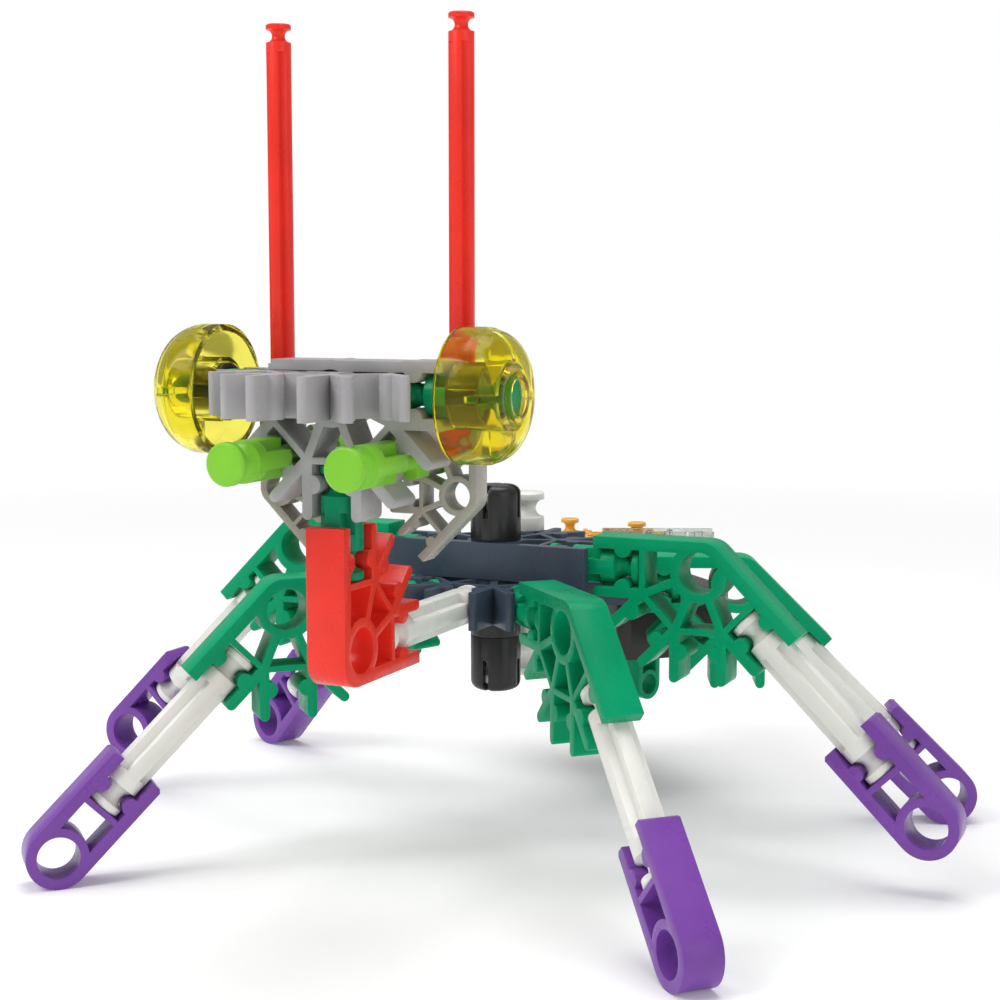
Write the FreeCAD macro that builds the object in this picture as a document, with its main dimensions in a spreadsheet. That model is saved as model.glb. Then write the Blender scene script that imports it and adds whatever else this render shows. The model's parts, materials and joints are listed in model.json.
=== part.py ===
# Six-legged spider robot built from snap-together rods and connectors (millimetres).
# World frame: origin on the floor under the middle of the model, +Z up, the head faces -Y.
import FreeCAD, Part
import math
import os
import PartDesign
import Sketcher
from FreeCAD import Placement, Rotation, Vector

os.makedirs("parts", exist_ok=True)
doc = FreeCAD.newDocument("spider_robot")

# ---------------------------------------------------------------- driving dimensions
DIMENSIONS = {
    "rod_diameter": 6.25,
    "rod_waist_diameter": 3.2,
    "rod_rib": 2.5,
    "short_rod_length": 17.0,
    "mid_rod_length": 33.0,
    "connector_thickness": 6.3,
    "hub_hole_diameter": 6.9,
    "hub_ring_diameter": 9.8,
    "seat_radius": 10.4,
    "arm_reach": 18.5,
    "wall_offset": 5.2,
    "small_scale": 0.6,
    "antenna_length": 63.0,
    "wheel_diameter": 19.4,
    "wheel_width": 8.7,
    "wheel_tube_diameter": 8.14,
    "bush_diameter": 8.0,
    "bush_length": 4.6,
    "cap_diameter": 8.7,
    "cap_height": 9.5,
    "spacer_length": 3.9,
    "motor_length": 39.5,
    "motor_width": 23.0,
    "motor_height": 12.4,
}
sheet = doc.addObject("Spreadsheet::Sheet", "Dimensions")
for row, (alias, value) in enumerate(DIMENSIONS.items(), start=1):
    sheet.set("A%d" % row, alias)
    sheet.set("B%d" % row, str(value))
    sheet.setAlias("B%d" % row, alias)
doc.recompute()


def dim(alias):
    return float(sheet.get(alias))


ROD_R = dim("rod_diameter") / 2
WAIST_R = dim("rod_waist_diameter") / 2
RIB = dim("rod_rib")
SHORT = dim("short_rod_length")
MID = dim("mid_rod_length")
THICK = dim("connector_thickness")
SEAT = dim("seat_radius")
REACH = dim("arm_reach")
WALL = dim("wall_offset")
SMALL = dim("small_scale")

ARM_IN = 3.2          # half gap between the two arms of a socket
ARM_OUT = 4.9         # outer side of a free arm
SPOKE = 1.35          # thickness of the ribs between hub and sockets
BUMP_X = 13.3         # where the gripping bumps sit, from the hub centre
BUMP_R = 1.4
BAR_IN = 9.3          # cross bar that stops the rod end
BAR_OUT = 10.3
CROSS_CLIP = 13.4     # hub centre to a rod gripped side-on in a socket
COLLAR_END = 6.9      # length of the round end of a rod before the ribbed shank
SLIM_WALL = 4.8       # outer side of the straight wall on the slotted head plates
HUB_PITCH = 2 * SEAT + SHORT

# ---------------------------------------------------------------- layout of the model
BODY_Y = 2 * SEAT + MID           # front body post behind the neck
REAR_Y = BODY_Y + CROSS_CLIP      # rear body post
LOW_Z = -(2 * SEAT + SHORT)       # lower connector layer, below the head hub
UP_Z = LOW_Z + THICK + 0.1        # upper connector layer
LEG_DROP = (2 * SEAT + MID) * math.sqrt(0.5)
FLOOR_Z = LOW_Z - LEG_DROP - WALL
MOTOR_DEG = 67.5
MIDDLE_Y = 54.50                  # middle of the whole length, behind the head hub


def world(x, y, z):
    """Point given from the head hub, moved to the frame on the floor."""
    return Vector(x, y - MIDDLE_Y, z - FLOOR_Z)


def polar(radius, degrees, origin=(0.0, 0.0)):
    angle = math.radians(degrees)
    return (origin[0] + radius * math.cos(angle), origin[1] + radius * math.sin(angle))


def frame(origin, x_axis, y_axis):
    """Placement with the local X and Y axes along the given world directions."""
    x_dir = Vector(*x_axis).normalize()
    y_dir = Vector(*y_axis).normalize()
    return Placement(origin, Rotation(x_dir, y_dir, x_dir.cross(y_dir), "XYZ"))


def upright(origin, heading):
    """Placement of a flat part standing in the vertical plane along a heading."""
    x, y = polar(1.0, heading)
    return frame(origin, (x, y, 0), (0, 0, 1))


# ---------------------------------------------------------------- sketch helpers
def new_body(label):
    body = doc.addObject("PartDesign::Body", label)
    body.Label = label
    return body


def new_sketch(body, name, role="XY_Plane", lift=0.0):
    sk = body.newObject("Sketcher::SketchObject", name)
    plane = [f for f in body.Origin.OriginFeatures if f.Role == role][0]
    sk.AttachmentSupport = [(plane, "")]
    sk.MapMode = "FlatFace"
    sk.AttachmentOffset = Placement(Vector(0, 0, lift), Rotation())
    return sk


def add_polygon(sk, points):
    count = len(points)
    for i in range(count):
        a = Vector(points[i][0], points[i][1], 0)
        b = Vector(points[(i + 1) % count][0], points[(i + 1) % count][1], 0)
        sk.addGeometry(Part.LineSegment(a, b), False)


def add_circle(sk, centre, radius, alias=None, factor=1.0):
    circle = Part.Circle(Vector(centre[0], centre[1], 0), Vector(0, 0, 1), radius)
    index = sk.addGeometry(circle, False)
    if alias:
        number = sk.addConstraint(Sketcher.Constraint("Diameter", index, 2 * radius))
        sk.setExpression("Constraints[%d]" % number, "Dimensions.%s * %g" % (alias, factor))
        sk.addConstraint(Sketcher.Constraint("DistanceX", -1, 1, index, 3, centre[0]))
        sk.addConstraint(Sketcher.Constraint("DistanceY", -1, 1, index, 3, centre[1]))


def arc_points(centre, radius, start, stop, steps=10):
    return [polar(radius, start + (stop - start) * i / steps, centre) for i in range(steps + 1)]


def pad(body, sk, name, alias=None, factor=1.0, length=None, centred=True):
    feature = body.newObject("PartDesign::Pad", name)
    feature.Profile = sk
    feature.Midplane = centred
    feature.Length = length if length else dim(alias) * factor
    if alias:
        feature.setExpression("Length", "Dimensions.%s * %g" % (alias, factor))
    sk.Visibility = False
    return feature


def cut(body, sk, name, length, both=True, up=False):
    feature = body.newObject("PartDesign::Pocket", name)
    feature.Profile = sk
    feature.Length = length
    feature.Midplane = both
    feature.Reversed = up
    sk.Visibility = False
    return feature


def repeat(body, original, sk, name, count, total):
    pattern = body.newObject("PartDesign::PolarPattern", name)
    pattern.Originals = [original]
    pattern.Axis = (sk, ["N_Axis"])
    pattern.Angle = total
    pattern.Occurrences = count
    body.Tip = pattern
    return pattern


# ---------------------------------------------------------------- rods
def add_ring_cuts(body, name, sk):
    """Turn the closed outlines of a sketch about its horizontal axis and remove them."""
    groove = body.newObject("PartDesign::Groove", name)
    groove.Profile = sk
    groove.ReferenceAxis = (sk, ["H_Axis"])
    groove.Angle = 360
    sk.Visibility = False
    body.Tip = groove
    return groove


def end_cuts(sk, length, k):
    """Bevelled tip and rounded waist, drawn at both ends of a rod."""
    r = ROD_R * k
    out = r + 0.5
    middle = 2.9 * k
    arc = arc_points((middle, r + 0.075 * k), 1.6 * k, 182.7, 357.3, 12)
    waist = [(arc[0][0], out)] + arc + [(arc[-1][0], out)]
    tip = [(-0.1, r - 0.3 * k - 0.1), (0.3 * k + 0.5, out), (-0.1, out)]
    for outline in (waist, tip):
        add_polygon(sk, outline)
        add_polygon(sk, [(length - x, y) for x, y in outline])


def make_rod(label, alias, place, k=1.0, necks=()):
    """Rod lying along local X from 0 to its length; necks are (centre, width, radius)."""
    scale = 1.0 if alias == "antenna_length" else k
    length = dim(alias) * scale
    body = new_body(label)
    round_sk = new_sketch(body, label + "_section", "YZ_Plane")
    add_circle(round_sk, (0, 0), ROD_R * k, "rod_diameter", k)
    pad(body, round_sk, label + "_bar", alias, scale, centred=False)
    sk = new_sketch(body, label + "_outline")
    end_cuts(sk, length, k)
    for centre, width, radius in necks:
        lo, hi = centre - width / 2, centre + width / 2
        out = ROD_R * k + 0.5
        add_polygon(sk, [(lo, radius), (hi, radius), (hi, out), (lo, out)])
    add_ring_cuts(body, label + "_turned", sk)
    start = COLLAR_END * k
    if length > 2 * start + 2:
        low = RIB / 2 * k
        high = ROD_R * k + 0.5
        groove_sk = new_sketch(body, label + "_groove", lift=low)
        add_polygon(groove_sk, [(start, low), (length - start, low),
                                (length - start, high), (start, high)])
        groove = cut(body, groove_sk, label + "_flute", ROD_R * k, both=False, up=True)
        flutes = body.newObject("PartDesign::PolarPattern", label + "_flutes")
        flutes.Originals = [groove]
        flutes.Axis = (sk, ["H_Axis"])
        flutes.Angle = 360
        flutes.Occurrences = 4
        body.Tip = flutes
    body.Placement = place
    return body


# ---------------------------------------------------------------- flat connectors
def turned_points(points, degrees, k):
    c = math.cos(math.radians(degrees)) * k
    s = math.sin(math.radians(degrees)) * k
    return [(x * c - y * s, x * s + y * c) for x, y in points]


def socket_outline():
    """U-shaped socket pointing along +X: cross bar, two rounded arms and their bumps."""
    bump = arc_points((BUMP_X, ARM_IN), BUMP_R, 180, 360, 10)
    tip_r = (ARM_OUT - ARM_IN) / 2
    tip = arc_points((REACH - tip_r, ARM_IN + tip_r), tip_r, -90, 90, 6)
    half = [(BAR_OUT, ARM_IN)] + bump + tip + [(11.9, ARM_OUT), (11.0, 4.7), (9.9, 4.5)]
    half += [(BAR_IN, 3.6)]
    return half + [(x, -y) for x, y in reversed(half)]


def wall_outline(first, count):
    """Closed wall along the outer sides of the first and last socket, bent behind the hub."""
    last = first + 45 * (count - 1)
    behind = (first + last) / 2 + 180
    half = (180 - 45 * (count - 1)) / 2
    start_side = first - 90
    end_side = last + 90

    def edge(offset, radius):
        begin = polar(offset, start_side, polar(REACH, first))
        finish = polar(offset, end_side, polar(REACH, last))
        if half == 0:
            return [begin, finish]
        corner = polar((offset - radius) / math.cos(math.radians(half)), behind)
        bend = arc_points(corner, radius, behind + half, behind - half, 8)
        return [begin] + bend + [finish]

    return edge(WALL, 4.0) + list(reversed(edge(WALL - 2.0, 2.0)))


def make_connector(label, count, first, place, k=1.0, straight=None, slot=None):
    """Flat connector with a hub hole and sockets every 45 degrees from the first one.

    straight = (x0, x1) gives a straight wall on the +Y side; slot = (x0, x1) halves the part
    so that a second one can slide in at a right angle."""
    body = new_body(label)
    hub_sk = new_sketch(body, label + "_hub")
    add_circle(hub_sk, (0, 0), dim("hub_ring_diameter") / 2 * k, "hub_ring_diameter", k)
    pad(body, hub_sk, label + "_ring", "connector_thickness", k)

    socket_sk = new_sketch(body, label + "_socket")
    add_polygon(socket_sk, turned_points(socket_outline(), first, k))
    arms = pad(body, socket_sk, label + "_arms", "connector_thickness", k)
    full = count == 8
    total = 360 if full else 45 * (count - 1)
    if count > 1:
        repeat(body, arms, socket_sk, label + "_sockets", count, total)

    spoke_sk = new_sketch(body, label + "_spoke")
    side = SPOKE / 2
    bar = [(4.2, -side), (11.0, -side), (11.0, side), (4.2, side)]
    add_polygon(spoke_sk, turned_points(bar, first + 22.5, k))
    spoke = pad(body, spoke_sk, label + "_rib", "connector_thickness", k)
    spokes = 8 if full else count - 1
    if spokes > 1:
        repeat(body, spoke, spoke_sk, label + "_ribs", spokes,
               360 if full else 45 * (count - 2))

    if not full:
        wall_sk = new_sketch(body, label + "_edge")
        if straight:
            x0, x1 = straight
            wall = [(x0, ARM_IN), (x1, ARM_IN), (x1, SLIM_WALL), (x0, SLIM_WALL)]
        else:
            wall = wall_outline(first, count)
        add_polygon(wall_sk, turned_points(wall, 0, k))
        pad(body, wall_sk, label + "_wall", "connector_thickness", k)

    if slot:
        end_x = -BAR_OUT if slot[0] < 0 else BAR_OUT
        bar_sk = new_sketch(body, label + "_stop")
        inner = end_x - math.copysign(1.0, end_x)
        lo, hi = sorted((inner, end_x))
        add_polygon(bar_sk, [(lo, -4.4), (hi, -4.4), (hi, WALL - 1), (lo, WALL - 1)])
        pad(body, bar_sk, label + "_bar", "connector_thickness", k)

    hole_sk = new_sketch(body, label + "_bore")
    add_circle(hole_sk, (0, 0), dim("hub_hole_diameter") / 2 * k, "hub_hole_diameter", k)
    cut(body, hole_sk, label + "_hub_hole", 3 * THICK * k)

    if slot:
        slot_sk = new_sketch(body, label + "_channel")
        x0, x1 = slot
        half = THICK / 2 + 0.1
        add_polygon(slot_sk, [(x0, -half), (x1, -half), (x1, half), (x0, half)])
        cut(body, slot_sk, label + "_slot", 3 * THICK)
    body.Placement = place
    return body


def make_end_clip(label, place, k=1.0, double=False):
    """Socket pointing along local +X from a ringed hub; a double one has another opposite."""
    turns = (0, 180) if double else (0,)
    body = new_body(label)
    outer_sk = new_sketch(body, label + "_profile")
    tip = [(REACH - 0.5, -WALL), (REACH, -WALL + 0.5), (REACH, WALL - 0.5), (REACH - 0.5, WALL)]
    back = [(-x, -y) for x, y in tip] if double else arc_points((0, 0), WALL, 90, 270, 24)
    add_polygon(outer_sk, turned_points(back + tip, 0, k))
    pad(body, outer_sk, label + "_blank", "connector_thickness", k)

    window_sk = new_sketch(body, label + "_opening")
    arch = arc_points((0, 0), 4.9, 40, -40, 8)
    window = arch + [(BAR_IN, -3.2), (BAR_IN, 3.2)]
    for turn in turns:
        add_polygon(window_sk, turned_points(window, turn, k))
    cut(body, window_sk, label + "_window", 3 * THICK * k)

    mouth_sk = new_sketch(body, label + "_grip")
    bump = arc_points((BUMP_X, 3.2), BUMP_R, 180, 360, 10)
    half = [(BAR_OUT, ARM_IN)] + bump + [(REACH + 1, ARM_IN)]
    for turn in turns:
        mouth = half + [(x, -y) for x, y in reversed(half)]
        add_polygon(mouth_sk, turned_points(mouth, turn, k))
    cut(body, mouth_sk, label + "_mouth", 3 * THICK * k)

    hole_sk = new_sketch(body, label + "_bore")
    add_circle(hole_sk, (0, 0), dim("hub_hole_diameter") / 2 * k, "hub_hole_diameter", k)
    cut(body, hole_sk, label + "_hub_hole", 3 * THICK * k)
    body.Placement = place
    return body


# ---------------------------------------------------------------- round parts
def make_turned(label, diameter, height, bore, place, removed=()):
    """Round part on local Z: bound cylinder, round bore and turned-away outlines (z, r)."""
    body = new_body(label)
    disc_sk = new_sketch(body, label + "_disc")
    add_circle(disc_sk, (0, 0), dim(diameter) / 2, diameter)
    pad(body, disc_sk, label + "_blank", height, centred=False)
    if removed:
        sk = new_sketch(body, label + "_outline", "YZ_Plane")
        for outline in removed:
            add_polygon(sk, [(r, z) for z, r in outline])
        groove = add_ring_cuts(body, label + "_turned", sk)
        groove.ReferenceAxis = (sk, ["V_Axis"])
    if bore:
        bore_sk = new_sketch(body, label + "_bore")
        add_circle(bore_sk, (0, 0), bore)
        cut(body, bore_sk, label + "_hole", 4 * dim(height))
    body.Placement = place
    return body


def slit_cross(body, label, width, z0, z1, inner, outer, count, turn=0.0):
    """Radial slots of one width between two heights, repeated round the axis."""
    sk = new_sketch(body, label + "_slit", lift=(z0 + z1) / 2)
    slit_at = [(inner, -width / 2), (outer, -width / 2), (outer, width / 2), (inner, width / 2)]
    add_polygon(sk, turned_points(slit_at, turn, 1))
    slit = cut(body, sk, label + "_slits", z1 - z0)
    repeat(body, slit, sk, label + "_slit_set", count, 360)


def make_cap(label, place):
    """Slotted collet cap that grips the end of a post; closed domed end upwards."""
    r = dim("cap_diameter") / 2
    height = dim("cap_height")
    bore = ROD_R + 0.07
    dome = [(z, q) for q, z in arc_points((r - 1.6, height - 1.6), 1.6, 0, 90, 6)]
    shoulder = dome + [(height + 0.5, r - 1.6), (height + 0.5, r + 0.5), (height - 1.6, r + 0.5)]
    hollow = [(-0.5, 0), (-0.5, bore), (height - 1.3, bore), (height - 1.3, 0)]
    body = make_turned(label, "cap_diameter", "cap_height", 0, place, (shoulder, hollow))
    slit_cross(body, label, 1.0, 0.42 * height, height + 0.1, bore - 0.9, r + 1, 4)
    return body


def make_wheel(label, place):
    """Clear wheel used as an eye: domed shell, slotted hub tube and four ribs."""
    r = dim("wheel_diameter") / 2
    w = dim("wheel_width")
    tube = dim("wheel_tube_diameter") / 2
    outer = tube + 0.8
    over = w + 0.5
    nose = 3.5
    dome = [(w - 5.2, r), (w - 4.2, r - 0.12)]
    dome += [(z, q) for q, z in arc_points((r - 4.9, w - 4.9), 4.75, 8, 82, 8)]
    dome += [(w - 0.35, nose + 0.3), (w - 0.35, nose), (over, nose), (over, r + 0.5),
             (w - 5.2, r + 0.5)]
    deep = w - 1.3
    hollow = [(-0.5, outer), (deep, outer), (deep, 5.4)]
    hollow += [(z, q) for q, z in arc_points((r - 4.9, w - 4.9), 3.75, 75, 5, 7)]
    hollow += [(w - 5.2, 8.7), (-0.5, 8.7)]
    socket = [(-0.5, 0), (-0.5, tube), (w - 0.8, tube), (w - 0.8, 0)]
    body = make_turned(label, "wheel_diameter", "wheel_width", 2.65, place,
                       (dome, hollow, socket))
    rib_sk = new_sketch(body, label + "_rib", lift=(4.2 + deep + 0.4) / 2)
    rib_at = [(outer - 0.3, -0.45), (8.75, -0.45), (8.75, 0.45), (outer - 0.3, 0.45)]
    add_polygon(rib_sk, rib_at)
    rib = pad(body, rib_sk, label + "_ribs", length=deep + 0.4 - 4.2)
    repeat(body, rib, rib_sk, label + "_rib_set", 4, 360)
    trim = body.newObject("PartDesign::Groove", label + "_trim")
    trim_sk = new_sketch(body, label + "_trim_outline", "YZ_Plane")
    skin = [(w - 5.2, r), (w - 4.2, r - 0.12)]
    skin += [(z, q) for q, z in arc_points((r - 4.9, w - 4.9), 4.75, 8, 82, 8)]
    skin += [(over, 5.4), (over, r + 0.5), (w - 5.2, r + 0.5)]
    add_polygon(trim_sk, [(q, z) for z, q in skin])
    trim.Profile = trim_sk
    trim.ReferenceAxis = (trim_sk, ["V_Axis"])
    trim.Angle = 360
    trim_sk.Visibility = False
    body.Tip = trim
    slit_cross(body, label + "_tube", 2.1, -0.1, 4.1, 3.0, outer + 0.4, 4)
    return body


# ---------------------------------------------------------------- head
HEAD = (0.0, 0.0, 0.0)
level = frame(world(*HEAD), (1, 0, 0), (0, 1, 0))
standing = frame(world(*HEAD), (1, 0, 0), (0, 0, 1))
make_connector("head_plate_upright", 4, 225, standing,
               straight=(-BAR_OUT + 0.5, REACH), slot=(-BAR_OUT - 1, 0.05))
make_connector("head_plate_level", 4, 180, level,
               straight=(-REACH, BAR_OUT - 0.5), slot=(-0.05, BAR_OUT + 1))

make_rod("neck_post", "short_rod_length", frame(world(0, 0, -SEAT), (0, 0, -1), (1, 0, 0)))
make_connector("neck_bracket", 3, 0, frame(world(0, 0, LOW_Z), (0, 1, 0), (0, 0, 1)))

JAW = CROSS_CLIP * math.sqrt(0.5)             # side-on rods below the head
SMALL_CLIP = CROSS_CLIP * SMALL
CHEEK = JAW + SMALL_CLIP * math.sqrt(0.5)     # hubs of the small connectors behind them
CHEEK_Y = 9.0
for side, sign in (("left", -1), ("right", 1)):
    jaw_at = world(sign * JAW, -MID / 2, -JAW)
    make_rod("jaw_rod_" + side, "mid_rod_length", frame(jaw_at, (0, 1, 0), (1, 0, 0)),
             necks=((MID / 2, THICK + 0.2, 1.72),
                    (MID / 2 + CHEEK_Y, THICK * SMALL + 0.16, 1.05)))
    first = 90 if sign > 0 else -45
    make_connector("cheek_connector_" + side, 4, first,
                   frame(world(sign * CHEEK, CHEEK_Y, -CHEEK), (1, 0, 0), (0, 0, 1)), k=SMALL)
    make_rod("antenna_" + side, "antenna_length",
             frame(world(sign * CHEEK, CHEEK_Y, -CHEEK + SEAT * SMALL), (0, 0, 1), (1, 0, 0)),
             k=SMALL)
    axle_at = frame(world(sign * SEAT, 0, 0), (sign, 0, 0), (0, 1, 0))
    make_rod("eye_axle_" + side, "short_rod_length", axle_at)
    wheel_at = frame(world(sign * 19.6, 0, 0), (0, 1, 0), (0, 0, sign))
    make_wheel("eye_wheel_" + side, wheel_at)
    make_turned("eye_bush_" + side, "bush_diameter", "bush_length", ROD_R + 0.07,
                frame(world(sign * 19.0, 0, 0), (0, 1, 0), (0, 0, sign)))

# ---------------------------------------------------------------- body plates and posts
make_rod("neck_link", "mid_rod_length", frame(world(0, SEAT, LOW_Z), (0, 1, 0), (1, 0, 0)))
flat = ((1, 0, 0), (0, 1, 0))
make_connector("body_plate_top", 5, 0, frame(world(0, BODY_Y, UP_Z), *flat))
make_connector("body_plate_front", 3, 225, frame(world(0, BODY_Y, LOW_Z), *flat))
make_connector("body_plate_rear", 4, 22.5, frame(world(0, REAR_Y, LOW_Z), *flat))

POST_TOP = UP_Z + THICK / 2 + dim("cap_height") - 1.35
down = ((0, 0, -1), (1, 0, 0))
make_rod("body_post_front", "mid_rod_length", frame(world(0, BODY_Y, POST_TOP), *down))
make_cap("post_cap_top", frame(world(0, BODY_Y, UP_Z + THICK / 2 + 0.05), *flat))
make_turned("post_spacer", "cap_diameter", "spacer_length", ROD_R + 0.07,
            frame(world(0, BODY_Y, LOW_Z - THICK / 2 - 0.05), (1, 0, 0), (0, -1, 0)))
cap_low = POST_TOP - MID + dim("cap_height") - 1.35
make_cap("post_cap_bottom", frame(world(0, BODY_Y, cap_low), (1, 0, 0), (0, -1, 0)))
rear_top = LOW_Z + MID / 2
make_rod("body_post_rear", "mid_rod_length", frame(world(0, REAR_Y, rear_top), (0, 0, -1), (1, 1, 0)),
         necks=((rear_top - UP_Z, THICK + 0.2, 1.72),))

# ---------------------------------------------------------------- six legs
LEGS = {
    "front_right": (-45, BODY_Y, LOW_Z),
    "front_left": (225, BODY_Y, LOW_Z),
    "middle_right": (0, BODY_Y, UP_Z),
    "middle_left": (180, BODY_Y, UP_Z),
    "rear_right": (22.5, REAR_Y, LOW_Z),
    "rear_left": (157.5, REAR_Y, LOW_Z),
}
for name, (heading, hub_y, z) in LEGS.items():
    ux, uy = polar(1.0, heading)
    hip_at = world(ux * SEAT, hub_y + uy * SEAT, z)
    make_rod("hip_rod_" + name, "short_rod_length", frame(hip_at, (ux, uy, 0), (0, 0, 1)))
    knee = (ux * HUB_PITCH, hub_y + uy * HUB_PITCH, z)
    make_connector("leg_bracket_" + name, 4, 180, upright(world(*knee), heading))
    slope = math.sqrt(0.5)
    along = (ux * slope, uy * slope, -slope)
    across = (ux * slope, uy * slope, slope)
    rod_at = tuple(knee[i] + SEAT * along[i] for i in range(3))
    make_rod("leg_rod_" + name, "mid_rod_length", frame(world(*rod_at), along, across))
    foot_at = tuple(knee[i] + (2 * SEAT + MID) * along[i] for i in range(3))
    back = tuple(-v for v in along)
    make_end_clip("foot_" + name, frame(world(*foot_at), back, across))

# ---------------------------------------------------------------- motor and small top parts
mx, my = polar(1.0, MOTOR_DEG)


def motor_point(along, left, z):
    """Point in the motor rod's own directions, measured from the rear post."""
    return world(along * mx - left * my, REAR_Y + along * my + left * mx, z)


MOTOR_TOP = -41.2
DECK_TOP = -39.9                  # raised part of the lid, behind the rear plate
MOTOR_CORNER = (17.1, -7.4)       # front right corner of the case
MOTOR_TURN = -22.5                # the case stands turned from its rod
BOSS_START = 20.6
BOSS_END = 30.2
BOSS_TOP = -33.2
make_rod("motor_rod", "short_rod_length",
         frame(motor_point(SEAT, 0, LOW_Z), (mx, my, 0), (0, 0, 1)))

PEG = SHORT * SMALL
PEG_TOP = -32.9                   # top of the two pegs gripped by the amber connector
SMALL_Z = PEG_TOP - 4.7           # middle of the small connectors
AMBER_HUB = (43.2, 23.96)
peg_front = polar(SMALL_CLIP, -45, AMBER_HUB)
peg_side = polar(SMALL_CLIP, 90, AMBER_HUB)
CLEAR_HUB = (46.88, 10.69)
CLEAR_PEG_TOP = -34.1
CLEAR_Z = SMALL_Z + 2.1           # the clear connector sits higher up its peg
HANG_HUB = (45.1, 12.9)
HANG_Z = MOTOR_TOP - dim("motor_height") - 0.3 - REACH * SMALL


def case_point(across, back):
    """Plan position on the turned motor case, from its front right corner."""
    return polar(back, MOTOR_TURN + 90, polar(across, MOTOR_TURN, MOTOR_CORNER))


def make_motor():
    """Motor block: chamfered case, a boss that takes the rod and wells for pegs and pin."""
    motor = new_body("motor_housing")
    wide = dim("motor_width")
    deep = dim("motor_length")
    half = dim("motor_height") / 2
    cut_off = 2.0
    outline = [(0, cut_off), (cut_off, 0), (wide - cut_off, 0), (wide, cut_off),
               (wide, deep - cut_off), (wide - cut_off, deep), (cut_off, deep),
               (0, deep - cut_off)]
    case_sk = new_sketch(motor, "motor_case_outline")
    add_polygon(case_sk, [case_point(x, y) for x, y in outline])
    pad(motor, case_sk, "motor_case", "motor_height")
    rise = BOSS_TOP - MOTOR_TOP
    boss_sk = new_sketch(motor, "motor_boss_outline", lift=half + rise / 2 - 0.5)
    add_polygon(boss_sk, [(BOSS_START, -5.0), (BOSS_END, -5.0), (BOSS_END, 5.0),
                          (BOSS_START, 5.0)])
    pad(motor, boss_sk, "motor_boss", length=rise + 1)
    step = DECK_TOP - MOTOR_TOP
    deck_sk = new_sketch(motor, "motor_deck_outline", lift=half + step / 2 - 0.5)
    add_polygon(deck_sk, [case_point(x, y) for x, y in ((3, 14), (21, 14), (21, 37), (3, 37))])
    pad(motor, deck_sk, "motor_deck", length=step + 1)
    axis_z = LOW_Z - (MOTOR_TOP - half)
    bore_sk = new_sketch(motor, "motor_socket_outline", "YZ_Plane", lift=BOSS_START - 1)
    add_circle(bore_sk, (0, axis_z), ROD_R + 0.07)
    cut(motor, bore_sk, "motor_socket", SHORT + SEAT - BOSS_START + 1.1, both=False, up=True)
    middle = MOTOR_TOP - half
    pin_end = HANG_Z + SEAT * SMALL + PEG + 0.1
    wells = {"pin": (HANG_HUB, MOTOR_TOP - 2 * half - 1, pin_end),
             "front": (peg_front, PEG_TOP - PEG - 0.1, DECK_TOP + 1),
             "clear": (CLEAR_HUB, CLEAR_PEG_TOP - PEG - 0.1, DECK_TOP + 1)}
    for tag, (at, low, high) in wells.items():
        well_sk = new_sketch(motor, "motor_%s_outline" % tag, lift=(low + high) / 2 - middle)
        add_circle(well_sk, at, ROD_R * SMALL + 0.06)
        cut(motor, well_sk, "motor_%s_well" % tag, high - low)
    motor.Placement = frame(motor_point(0, 0, middle), (mx, my, 0), (-my, mx, 0))
    return motor


make_motor()
peg_neck = ((PEG_TOP - SMALL_Z, THICK * SMALL + 0.16, 1.05),)
make_connector("amber_connector", 4, -45,
               frame(motor_point(*AMBER_HUB, SMALL_Z), (mx, my, 0), (-my, mx, 0)), k=SMALL)
make_rod("small_peg_front", "short_rod_length",
         frame(motor_point(*peg_front, PEG_TOP), *down), k=SMALL, necks=peg_neck)
make_rod("small_peg_side", "short_rod_length",
         frame(motor_point(*peg_side, PEG_TOP), *down), k=SMALL, necks=peg_neck)
clear_dir = polar(1.0, MOTOR_DEG - 45)
clear_at = frame(motor_point(*CLEAR_HUB, CLEAR_Z), (*clear_dir, 0),
                 (-clear_dir[1], clear_dir[0], 0))
make_end_clip("clear_connector", clear_at, k=SMALL, double=True)
make_rod("small_peg_clear", "short_rod_length",
         frame(motor_point(*CLEAR_HUB, CLEAR_PEG_TOP), *down), k=SMALL)
make_end_clip("hanging_clip", frame(motor_point(*HANG_HUB, HANG_Z), (0, 0, 1), (mx, my, 0)),
              k=SMALL)
make_rod("hanging_pin", "short_rod_length",
         frame(motor_point(*HANG_HUB, HANG_Z + SEAT * SMALL), (0, 0, 1), (1, 0, 0)), k=SMALL)

# ---------------------------------------------------------------- check and export
doc.recompute()
bodies = [obj for obj in doc.Objects if obj.TypeId == "PartDesign::Body"]
for obj in doc.Objects:
    if "Invalid" in obj.State or "Error" in obj.State:
        raise RuntimeError("%s did not recompute: %s" % (obj.Label, obj.State))
for body in bodies:
    shape = body.Shape
    if shape.isNull() or not shape.isValid() or len(shape.Solids) != 1:
        raise RuntimeError("%s has %d solids" % (body.Label, len(shape.Solids)))
    shape.exportStep("parts/%s.step" % body.Label)
    print("%-32s %9.1f mm3" % (body.Label, shape.Volume))
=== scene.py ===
# Spider robot built from snap-together rods and connectors: looks, light and camera (metres).
import json
import math

import bpy
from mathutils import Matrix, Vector

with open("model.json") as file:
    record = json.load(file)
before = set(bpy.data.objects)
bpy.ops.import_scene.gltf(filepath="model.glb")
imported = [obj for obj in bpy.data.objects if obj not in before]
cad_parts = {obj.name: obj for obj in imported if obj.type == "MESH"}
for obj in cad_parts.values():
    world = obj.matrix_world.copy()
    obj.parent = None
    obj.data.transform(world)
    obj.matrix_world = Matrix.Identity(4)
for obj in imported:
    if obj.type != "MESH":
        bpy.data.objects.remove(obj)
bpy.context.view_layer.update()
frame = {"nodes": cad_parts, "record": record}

MM = 0.001
scene = bpy.context.scene


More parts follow.
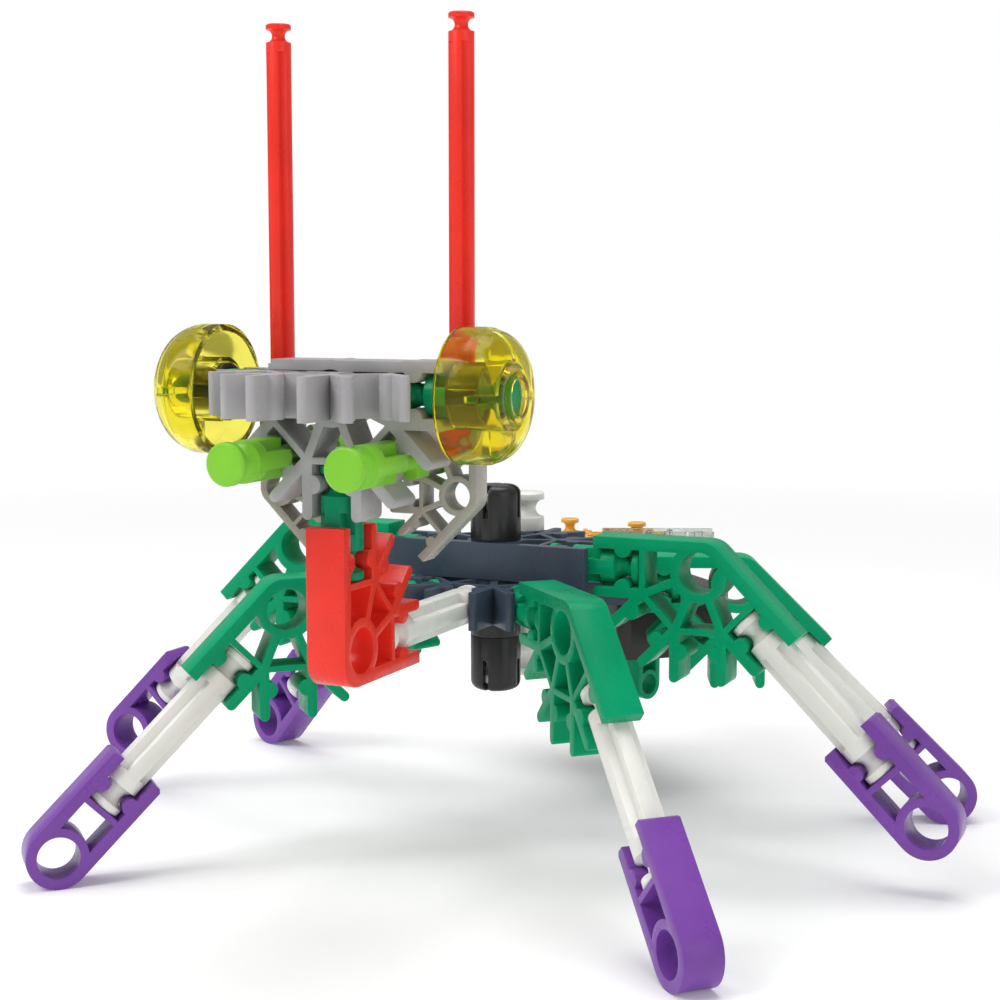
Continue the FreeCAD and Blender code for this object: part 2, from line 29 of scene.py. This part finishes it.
# ---------------------------------------------------------------- shader node helpers
def new_material(name):
    """A material with one Principled shader, returned with its node tree and that shader."""
    material = bpy.data.materials.new(name)
    material.use_nodes = True
    tree = material.node_tree
    tree.nodes.clear()
    output = tree.nodes.new("ShaderNodeOutputMaterial")
    shader = tree.nodes.new("ShaderNodeBsdfPrincipled")
    tree.links.new(shader.outputs["BSDF"], output.inputs["Surface"])
    return material, tree, shader


def object_coords(tree):
    """Places in the piece's own frame, so a pattern stays on the piece when it moves."""
    return tree.nodes.new("ShaderNodeTexCoord").outputs["Object"]


def noise(tree, coords, scale, detail=3.0, roughness=0.55):
    """Cloudy pattern between 0 and 1, with about scale patches to the metre."""
    node = tree.nodes.new("ShaderNodeTexNoise")
    node.inputs["Scale"].default_value = scale
    node.inputs["Detail"].default_value = detail
    node.inputs["Roughness"].default_value = roughness
    tree.links.new(coords, node.inputs["Vector"])
    return node.outputs["Fac"]


def ramp(tree, factor, stops):
    """Colour that runs through the (place, colour) stops as the factor grows."""
    node = tree.nodes.new("ShaderNodeValToRGB")
    elements = node.color_ramp.elements
    while len(elements) < len(stops):
        elements.new(0.5)
    for element, (place, colour) in zip(elements, stops):
        element.position = place
        element.color = (*colour, 1.0)
    tree.links.new(factor, node.inputs["Fac"])
    return node.outputs["Color"]


def spread(tree, factor, low, high, start=0.0, end=1.0):
    """The factor's stretch from start to end, mapped to low to high and held outside it."""
    node = tree.nodes.new("ShaderNodeMapRange")
    node.inputs["From Min"].default_value = start
    node.inputs["From Max"].default_value = end
    node.inputs["To Min"].default_value = low
    node.inputs["To Max"].default_value = high
    tree.links.new(factor, node.inputs["Value"])
    return node.outputs["Result"]


def mix_colour(tree, factor, first, second):
    """First colour where the factor is 0, second where it is 1; each a tuple or a socket."""
    node = tree.nodes.new("ShaderNodeMix")
    node.data_type = "RGBA"
    tree.links.new(factor, node.inputs["Factor"])
    for socket, value in (("A", first), ("B", second)):
        target = [s for s in node.inputs if s.name == socket and s.type == "RGBA"][0]
        if isinstance(value, tuple):
            target.default_value = (*value, 1.0)
        else:
            tree.links.new(value, target)
    return [s for s in node.outputs if s.type == "RGBA"][0]


def edge_mask(tree, radius, sharpness):
    """1 along convex and concave edges, 0 on flat faces."""
    bevel = tree.nodes.new("ShaderNodeBevel")
    bevel.samples = 4
    bevel.inputs["Radius"].default_value = radius
    geometry = tree.nodes.new("ShaderNodeNewGeometry")
    dot = tree.nodes.new("ShaderNodeVectorMath")
    dot.operation = "DOT_PRODUCT"
    tree.links.new(bevel.outputs["Normal"], dot.inputs[0])
    tree.links.new(geometry.outputs["Normal"], dot.inputs[1])
    return spread(tree, dot.outputs["Value"], 0.0, 1.0, 1.0, 1.0 - sharpness)


def bump(tree, shader, heights):
    """Chain of bump nodes from (height, strength, distance) triples."""
    normal = None
    for height, strength, distance in heights:
        node = tree.nodes.new("ShaderNodeBump")
        node.inputs["Strength"].default_value = strength
        node.inputs["Distance"].default_value = distance
        tree.links.new(height, node.inputs["Height"])
        if normal:
            tree.links.new(normal, node.inputs["Normal"])
        normal = node.outputs["Normal"]
    tree.links.new(normal, shader.inputs["Normal"])


# ---------------------------------------------------------------- colours
def shade(colour, amount):
    """The colour made lighter (amount above 1) or darker (below 1)."""
    return tuple(min(1.0, channel * amount) for channel in colour)


def linear(red, green, blue):
    """Scene-linear colour from the usual 0-255 display values."""
    def channel(value):
        value /= 255.0
        return value / 12.92 if value <= 0.04045 else ((value + 0.055) / 1.055) ** 2.4
    return tuple(channel(value) for value in (red, green, blue))


# ---------------------------------------------------------------- opaque moulded plastic
# Patterns, in patches to the metre: the larger the number, the finer the pattern.
CLOUDS = 90.0               # slow drift of the colour
SCUFFS = 700.0              # darker rubbed specks
SMEARS = 160.0              # change of gloss
WAVES = 260.0               # shallow unevenness of a moulded face
PEEL = 2600.0               # fine orange peel
WAVE_DEPTH = 0.12 * MM
PEEL_DEPTH = 0.03 * MM
SCUFF_SHADE = 0.82
SCUFF_COVER = 0.2           # how far a scuff darkens the plastic
# painted highlight along the edges of opaque plastic: its width, sharpness and strength
EDGE_HIGHLIGHT_RADIUS = 0.35 * MM     # width of the painted highlight, a paler line along every edge
EDGE_HIGHLIGHT_SHARPNESS = 0.35
EDGE_HIGHLIGHT_COVER = 0.35
PLASTIC_IOR = 1.5
SUBSURFACE_DEPTH = 1.5 * MM


def moulded_plastic(name, colour, rough=0.28, variation=0.10, subsurface=0.0, shine=0.3):
    """Glossy moulded plastic: cloudy colour, fine orange peel, scuffs, and a painted highlight
    as a paler line along its convex and concave edges.
    """
    material, tree, shader = new_material(name)
    coords = object_coords(tree)
    clouds = noise(tree, coords, CLOUDS, 2.0)
    base = ramp(tree, clouds, [(0.30, shade(colour, 1 - variation)), (0.55, colour),
                               (0.80, shade(colour, 1 + variation))])
    scuffs = noise(tree, coords, SCUFFS, 6.0, 0.75)
    scuff_mask = spread(tree, scuffs, 0.0, SCUFF_COVER, 0.62, 0.78)
    scuffed = mix_colour(tree, scuff_mask, base, shade(colour, SCUFF_SHADE))
    # painted highlight: a paler colour laid along every convex and concave edge, standing in
    # for the light rims at the edges
    edges = edge_mask(tree, EDGE_HIGHLIGHT_RADIUS, EDGE_HIGHLIGHT_SHARPNESS)
    painted_edge_highlight = tuple(channel * 0.9 + 0.06 for channel in colour)
    finished = mix_colour(tree, spread(tree, edges, 0.0, EDGE_HIGHLIGHT_COVER), scuffed, painted_edge_highlight)
    tree.links.new(finished, shader.inputs["Base Color"])
    smears = noise(tree, coords, SMEARS, 4.0, 0.6)
    tree.links.new(spread(tree, smears, rough - 0.06, rough + 0.12, 0.3, 0.75),
                   shader.inputs["Roughness"])
    peel = noise(tree, coords, PEEL, 2.0)
    waves = noise(tree, coords, WAVES, 2.0)
    bump(tree, shader, [(waves, 0.12, WAVE_DEPTH), (peel, 0.10, PEEL_DEPTH)])
    shader.inputs["IOR"].default_value = PLASTIC_IOR
    shader.inputs["Specular IOR Level"].default_value = shine
    if subsurface:
        shader.inputs["Subsurface Weight"].default_value = subsurface
        shader.inputs["Subsurface Radius"].default_value = (1.0, 1.0, 1.0)
        shader.inputs["Subsurface Scale"].default_value = SUBSURFACE_DEPTH
    return material


# ---------------------------------------------------------------- clear moulded plastic
CLEAR_CLOUDS = 120.0        # uneven tint
CLEAR_SMEARS = 220.0        # change of gloss
FLOW = 300.0                # flow marks of the moulding
FLOW_DEPTH = 0.1 * MM
# painted shade along the edges of clear plastic: its width, sharpness and strength
CLEAR_EDGE_SHADE_RADIUS = 0.5 * MM
CLEAR_EDGE_SHADE_SHARPNESS = 0.4
CLEAR_EDGE_SHADE_COVER = 0.75
CLEAR_IOR = 1.2             # below real plastic's, so what is behind a wheel stays readable


def clear_plastic(name, colour, edge, rough=0.04, transmission=0.97):
    """See-through moulded plastic, tinted unevenly, with faint flow marks and painted shade
    darkening its edges.
    """
    material, tree, shader = new_material(name)
    coords = object_coords(tree)
    clouds = noise(tree, coords, CLEAR_CLOUDS, 2.0)
    base = ramp(tree, clouds, [(0.30, shade(colour, 0.92)), (0.70, shade(colour, 1.05))])
    # painted shade: the edges are darkened towards the edge colour, standing in for the dark
    # rims that refraction gives
    edges = edge_mask(tree, CLEAR_EDGE_SHADE_RADIUS, CLEAR_EDGE_SHADE_SHARPNESS)
    finished = mix_colour(tree, spread(tree, edges, 0.0, CLEAR_EDGE_SHADE_COVER), base, edge)
    tree.links.new(finished, shader.inputs["Base Color"])
    smears = noise(tree, coords, CLEAR_SMEARS, 4.0)
    tree.links.new(spread(tree, smears, rough, rough + 0.08, 0.35, 0.8),
                   shader.inputs["Roughness"])
    flow = noise(tree, coords, FLOW, 2.0)
    bump(tree, shader, [(flow, 0.10, FLOW_DEPTH)])
    shader.inputs["Transmission Weight"].default_value = transmission
    shader.inputs["IOR"].default_value = CLEAR_IOR
    return material


LOOKS = {
    "bright_green": moulded_plastic("bright_green", linear(4, 158, 108), shine=0.1),
    "dark_green": moulded_plastic("dark_green", linear(8, 138, 98), shine=0.15),
    "white": moulded_plastic("white", linear(232, 232, 226), rough=0.3, variation=0.04,
                             subsurface=0.15),
    "purple": moulded_plastic("purple", linear(122, 70, 164)),
    "slate": moulded_plastic("slate", linear(64, 76, 92), variation=0.14),
    "black": moulded_plastic("black", linear(44, 44, 44), variation=0.18),
    "red": moulded_plastic("red", linear(240, 52, 38)),
    "grey": moulded_plastic("grey", linear(172, 170, 172)),
    "lime": moulded_plastic("lime", linear(128, 200, 52), rough=0.32),
    "warm_grey": moulded_plastic("warm_grey", linear(168, 165, 155)),
    "charcoal": moulded_plastic("charcoal", linear(58, 54, 54), variation=0.16),
    "amber": moulded_plastic("amber", linear(240, 180, 72)),
    # the edge colours of the clear plastics are painted shade for their rims
    "clear_yellow": clear_plastic("clear_yellow", linear(254, 243, 104), rough=0.06,
                                  edge=(0.62, 0.54, 0.03)),
    "clear": clear_plastic("clear", linear(222, 228, 222), edge=(0.20, 0.22, 0.20),
                           transmission=0.85),
}


# ---------------------------------------------------------------- soft moulded edges
SAME_CORNER = 0.002 * MM            # corners nearer than this are one corner
ROUNDED_FROM = math.radians(42)     # edges sharper than this are rounded
SMOOTH_UP_TO = math.radians(38)     # edges flatter than this are shaded smooth
ROUND_SEGMENTS = 2
PLAIN_EDGE = 0.18                   # width of the rounding in mm, unless listed below
EDGE_WIDTH = {"leg_bracket": 0.6, "foot": 0.6, "body_plate": 0.55, "neck_bracket": 0.6,
              "head_plate": 0.55, "cheek": 0.3, "amber_connector": 0.25,
              "clear_connector": 0.25, "hanging_clip": 0.25, "post_cap": 0.35,
              "eye_wheel": 0.22, "motor": 0.5}


def geometry_group(name):
    """Empty geometry node group, returned with the socket it starts from and ends in."""
    group = bpy.data.node_groups.new(name, "GeometryNodeTree")
    for direction in ("INPUT", "OUTPUT"):
        group.interface.new_socket("Geometry", in_out=direction,
                                   socket_type="NodeSocketGeometry")
    source = group.nodes.new("NodeGroupInput")
    sink = group.nodes.new("NodeGroupOutput")
    return group, source.outputs[0], sink.inputs[0]


def join_corners():
    """Joins the split corners of a CAD mesh, so that its edges can be rounded."""
    group, source, sink = geometry_group("join_corners")
    drop = group.nodes.new("GeometryNodeRemoveAttribute")
    drop.inputs["Name"].default_value = "custom_normal"
    weld = group.nodes.new("GeometryNodeMergeByDistance")
    weld.inputs["Distance"].default_value = SAME_CORNER
    group.links.new(source, drop.inputs["Geometry"])
    group.links.new(drop.outputs["Geometry"], weld.inputs["Geometry"])
    group.links.new(weld.outputs["Geometry"], sink)
    return group


def sharp_edges():
    """Shades every face smooth and keeps the sharper edges sharp."""
    group, source, sink = geometry_group("sharp_edges")
    smooth_faces = group.nodes.new("GeometryNodeSetShadeSmooth")
    smooth_faces.domain = "FACE"
    edge_angle = group.nodes.new("GeometryNodeInputMeshEdgeAngle")
    compare = group.nodes.new("FunctionNodeCompare")
    compare.data_type = "FLOAT"
    compare.operation = "LESS_THAN"
    compare.inputs["B"].default_value = SMOOTH_UP_TO
    smooth_edges = group.nodes.new("GeometryNodeSetShadeSmooth")
    smooth_edges.domain = "EDGE"
    group.links.new(source, smooth_faces.inputs["Geometry"])
    group.links.new(edge_angle.outputs["Unsigned Angle"], compare.inputs["A"])
    group.links.new(smooth_faces.outputs["Geometry"], smooth_edges.inputs["Geometry"])
    group.links.new(compare.outputs["Result"], smooth_edges.inputs["Shade Smooth"])
    group.links.new(smooth_edges.outputs["Geometry"], sink)
    return group


JOIN = join_corners()
SHARPEN = sharp_edges()


def edge_width(name):
    """Width of the rounding on the named piece."""
    widths = [width for prefix, width in EDGE_WIDTH.items() if name.startswith(prefix)]
    return (widths[0] if widths else PLAIN_EDGE) * MM


def soften(obj, width):
    """Rounds the hard edges of a CAD node with modifiers only."""
    joined = obj.modifiers.new("join", "NODES")
    joined.node_group = JOIN
    rounded = obj.modifiers.new("round", "BEVEL")
    rounded.width = width
    rounded.segments = ROUND_SEGMENTS
    rounded.limit_method = "ANGLE"
    rounded.angle_limit = ROUNDED_FROM
    rounded.use_clamp_overlap = True
    rounded.miter_outer = "MITER_ARC"
    sharp = obj.modifiers.new("shade", "NODES")
    sharp.node_group = SHARPEN


def dress_pieces():
    """Rounds every piece and gives it the material that its record names."""
    material_of = {p["node"]: p["material_slot"] for p in frame["record"]["subparts"]}
    for name, obj in frame["nodes"].items():
        soften(obj, edge_width(name))
        for slot in obj.material_slots:
            slot.link = "OBJECT"
            slot.material = LOOKS[material_of[name]]


# ---------------------------------------------------------------- floor, light and camera
FLOOR_SIZE = 6.0
FLOOR_GLOW = 0.12           # the paper's own light, which keeps it pale in shadow
PAPER_TONE = 6.0            # patches to the metre
FADE_START = 0.16           # from the middle: plain paper up to here
FADE_END = 0.6              # and plain white from here, so no horizon shows
AMBIENT = 0.36              # light from all round, below the white that the camera sees
CENTRE = (0.0, 0.0, 0.06)   # what the lights point at
LIGHTS = {                  # place, width and height, power in watts
    "key": ((-0.45, -0.55, 0.75), (0.5, 0.5), 4.8),
    "fill": ((0.75, -0.35, 0.35), (0.6, 0.6), 1.3),
    "top": ((0.0, 0.1, 0.9), (0.6, 0.6), 4.6),
}
CAMERA_AT = Vector((131.3, -287.03, 96.5)) * MM
LOOK_ALONG = Vector((-0.4119, 0.9038, -0.1163))     # 24.5 degrees round, 6.68 degrees down
SENSOR_WIDTH = 36.0
FOCAL_LENGTH = 66.1


def add_floor():
    bpy.ops.mesh.primitive_plane_add(size=FLOOR_SIZE, location=(0, 0, 0))
    floor = bpy.context.object
    floor.name = "studio_floor"
    material, tree, shader = new_material("floor_paper")
    coords = object_coords(tree)
    tone = noise(tree, coords, PAPER_TONE, 3.0)
    paper = ramp(tree, tone, [(0.3, (0.86, 0.86, 0.86)), (0.7, (0.9, 0.9, 0.9))])
    tree.links.new(paper, shader.inputs["Base Color"])
    shader.inputs["Roughness"].default_value = 0.8
    shader.inputs["Emission Color"].default_value = (1.0, 1.0, 1.0, 1.0)
    shader.inputs["Emission Strength"].default_value = FLOOR_GLOW
    distance = tree.nodes.new("ShaderNodeVectorMath")
    distance.operation = "LENGTH"
    tree.links.new(coords, distance.inputs[0])
    fade = spread(tree, distance.outputs["Value"], 0.0, 1.0, FADE_START, FADE_END)
    glow = tree.nodes.new("ShaderNodeEmission")
    blend = tree.nodes.new("ShaderNodeMixShader")
    output = [node for node in tree.nodes if node.type == "OUTPUT_MATERIAL"][0]
    tree.links.new(fade, blend.inputs["Fac"])
    tree.links.new(shader.outputs["BSDF"], blend.inputs[1])
    tree.links.new(glow.outputs["Emission"], blend.inputs[2])
    tree.links.new(blend.outputs["Shader"], output.inputs["Surface"])
    floor.data.materials.append(material)


def aim(obj, place, direction):
    """Puts a light or a camera at the place and turns it to look along the direction."""
    obj.location = place
    obj.rotation_euler = direction.to_track_quat("-Z", "Y").to_euler()
    scene.collection.objects.link(obj)


def add_light(name, place, size, power):
    light = bpy.data.lights.new(name, "AREA")
    light.shape = "RECTANGLE"
    light.size, light.size_y = size
    light.energy = power
    aim(bpy.data.objects.new(name, light), place, Vector(CENTRE) - Vector(place))


def add_backdrop():
    """White all round for the camera, and a weaker white that lights the model."""
    world = bpy.data.worlds.new("studio")
    world.use_nodes = True
    tree = world.node_tree
    background = tree.nodes["Background"]
    background.inputs["Color"].default_value = (1.0, 1.0, 1.0, 1.0)
    path = tree.nodes.new("ShaderNodeLightPath")
    strength = spread(tree, path.outputs["Is Camera Ray"], AMBIENT, 1.0)
    tree.links.new(strength, background.inputs["Strength"])
    scene.world = world


def add_camera():
    data = bpy.data.cameras.new("photo_view")
    data.sensor_width = SENSOR_WIDTH
    data.lens = FOCAL_LENGTH
    data.clip_start = 0.01
    camera = bpy.data.objects.new("photo_view", data)
    aim(camera, CAMERA_AT, LOOK_ALONG)
    scene.camera = camera


dress_pieces()
add_floor()
for light_name, (place, size, power) in LIGHTS.items():
    add_light(light_name, place, size, power)
add_backdrop()
add_camera()
scene.view_settings.view_transform = "Standard"
